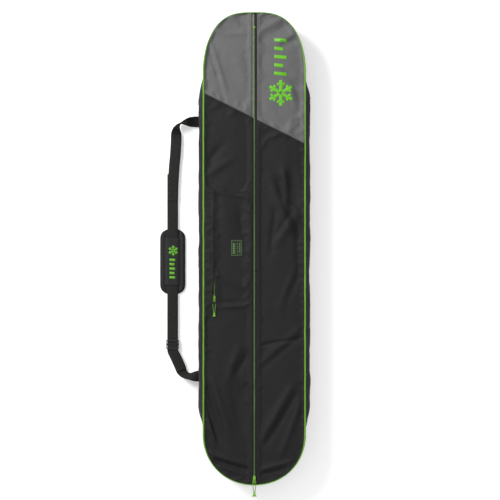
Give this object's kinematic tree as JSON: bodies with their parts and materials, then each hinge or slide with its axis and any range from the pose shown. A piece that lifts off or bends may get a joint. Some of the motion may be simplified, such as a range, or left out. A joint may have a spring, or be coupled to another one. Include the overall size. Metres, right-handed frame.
{
  "type": "snowboard bag",
  "caption": "Soft zip-up travel bag for a snowboard, with a zipped front pocket and an adjustable padded shoulder strap.",
  "frame": {"origin": "middle of the back panel's outer face, on the surface the bag lies on", "axes": "+X to the right of someone facing the front, +Y along the bag to its nose, +Z out of the front"},
  "size_m": [0.5269, 1.6898, 0.1088],
  "materials": {
    "grey_cloth": "coated polyester weave, matt",
    "black_cloth": "coated polyester weave, matt",
    "lining": "thin nylon lining",
    "lime_piping": "satin piping tape over a cord",
    "zip_chain": "nylon coil on woven tape",
    "zip_metal": "painted die casting",
    "pull_cord": "braided cord",
    "pull_grip": "moulded soft plastic",
    "webbing": "ribbed webbing",
    "pad_cloth": "coated cloth over foam",
    "buckle_plastic": "moulded acetal",
    "label_weave": "woven label"
  },
  "bodies": {
    "shell": {"back_panel": "black_cloth", "gusset_left": "black_cloth", "gusset_right": "black_cloth", "gusset_nose": "black_cloth", "gusset_tail": "black_cloth", "front_piping": "lime_piping", "front_seam_binding": "webbing", "back_seam_binding": "webbing", "nose_panel_left": "grey_cloth", "nose_panel_right": "grey_cloth", "tail_panel_left": "black_cloth", "tail_panel_right": "black_cloth", "zip_nose_left": "zip_chain", "zip_nose_right": "zip_chain", "zip_tail_left": "zip_chain", "zip_tail_right": "zip_chain", "zip_nose_stop": "zip_metal", "zip_tail_stop": "zip_metal"},
    "front_left": {"front_panel_left": "black_cloth", "zip_middle_left": "zip_chain", "pocket_liner": "lining", "pocket_zip_outer": "zip_chain", "pocket_zip_low_end": "zip_chain", "pocket_zip_high_end": "zip_chain", "pocket_low_stop": "zip_metal", "pocket_high_stop": "zip_metal"},
    "front_right": {"front_panel_right": "black_cloth", "zip_middle_right": "zip_chain"},
    "pocket_front": {"pocket_panel": "black_cloth", "pocket_zip_inner": "zip_chain", "pocket_label": "label_weave"},
    "main_slider": {"main_slider": "zip_metal"},
    "main_pull": {"main_pull_cord": "pull_cord", "main_pull_grip": "pull_grip"},
    "pocket_slider": {"pocket_slider": "zip_metal"},
    "pocket_pull": {"pocket_pull_cord": "pull_cord", "pocket_pull_grip": "pull_grip"},
    "strap": {"strap_upper_webbing": "webbing", "strap_lower_webbing": "webbing", "strap_free_end": "webbing"},
    "strap_pad": {"pad_foam": "pad_cloth", "pad_binding": "webbing", "pad_cover": "pad_cloth"},
    "strap_glide": {"tri_glide": "buckle_plastic"}
  },
  "joints": [
    {"name": "front_left_fold", "type": "hinge", "parent": "shell", "child": "front_left", "pos_m": [-0.177, 0, 0.1], "axis": [0, -1, 0], "range_deg": [0, 150]},
    {"name": "front_right_fold", "type": "hinge", "parent": "shell", "child": "front_right", "pos_m": [0.177, 0, 0.1], "axis": [0, 1, 0], "range_deg": [0, 150]},
    {"name": "pocket_gape", "type": "hinge", "parent": "front_left", "child": "pocket_front", "pos_m": [-0.0189, 0.0065, 0.099], "axis": [0, 1, 0], "range_deg": [0, 20]},
    {"name": "main_zip", "type": "slide", "parent": "shell", "child": "main_slider", "axis": [0, 1, 0], "range_m": [0, 1.55]},
    {"name": "main_pull_swing", "type": "hinge", "parent": "main_slider", "child": "main_pull", "pos_m": [0, -0.8055, 0.10525], "axis": [-1, 0, 0], "range_deg": [0, 150]},
    {"name": "pocket_zip", "type": "slide", "parent": "front_left", "child": "pocket_slider", "axis": [0, 1, 0], "range_m": [0, 0.355]},
    {"name": "pocket_pull_swing", "type": "hinge", "parent": "pocket_slider", "child": "pocket_pull", "pos_m": [-0.1396, -0.17567, 0.1014], "axis": [-1, 0, 0], "range_deg": [0, 150]},
    {"name": "strap_swing", "type": "hinge", "parent": "shell", "child": "strap", "pos_m": [-0.183, 0, 0.004], "axis": [0, 1, 0], "range_deg": [0, 30]},
    {"name": "pad_slide", "type": "slide", "parent": "strap", "child": "strap_pad", "axis": [0, 1, 0], "range_m": [-0.025, 0.06]},
    {"name": "glide_adjust", "type": "slide", "parent": "strap", "child": "strap_glide", "axis": [0, 1, 0], "range_m": [0, 0.09]}
  ]
}
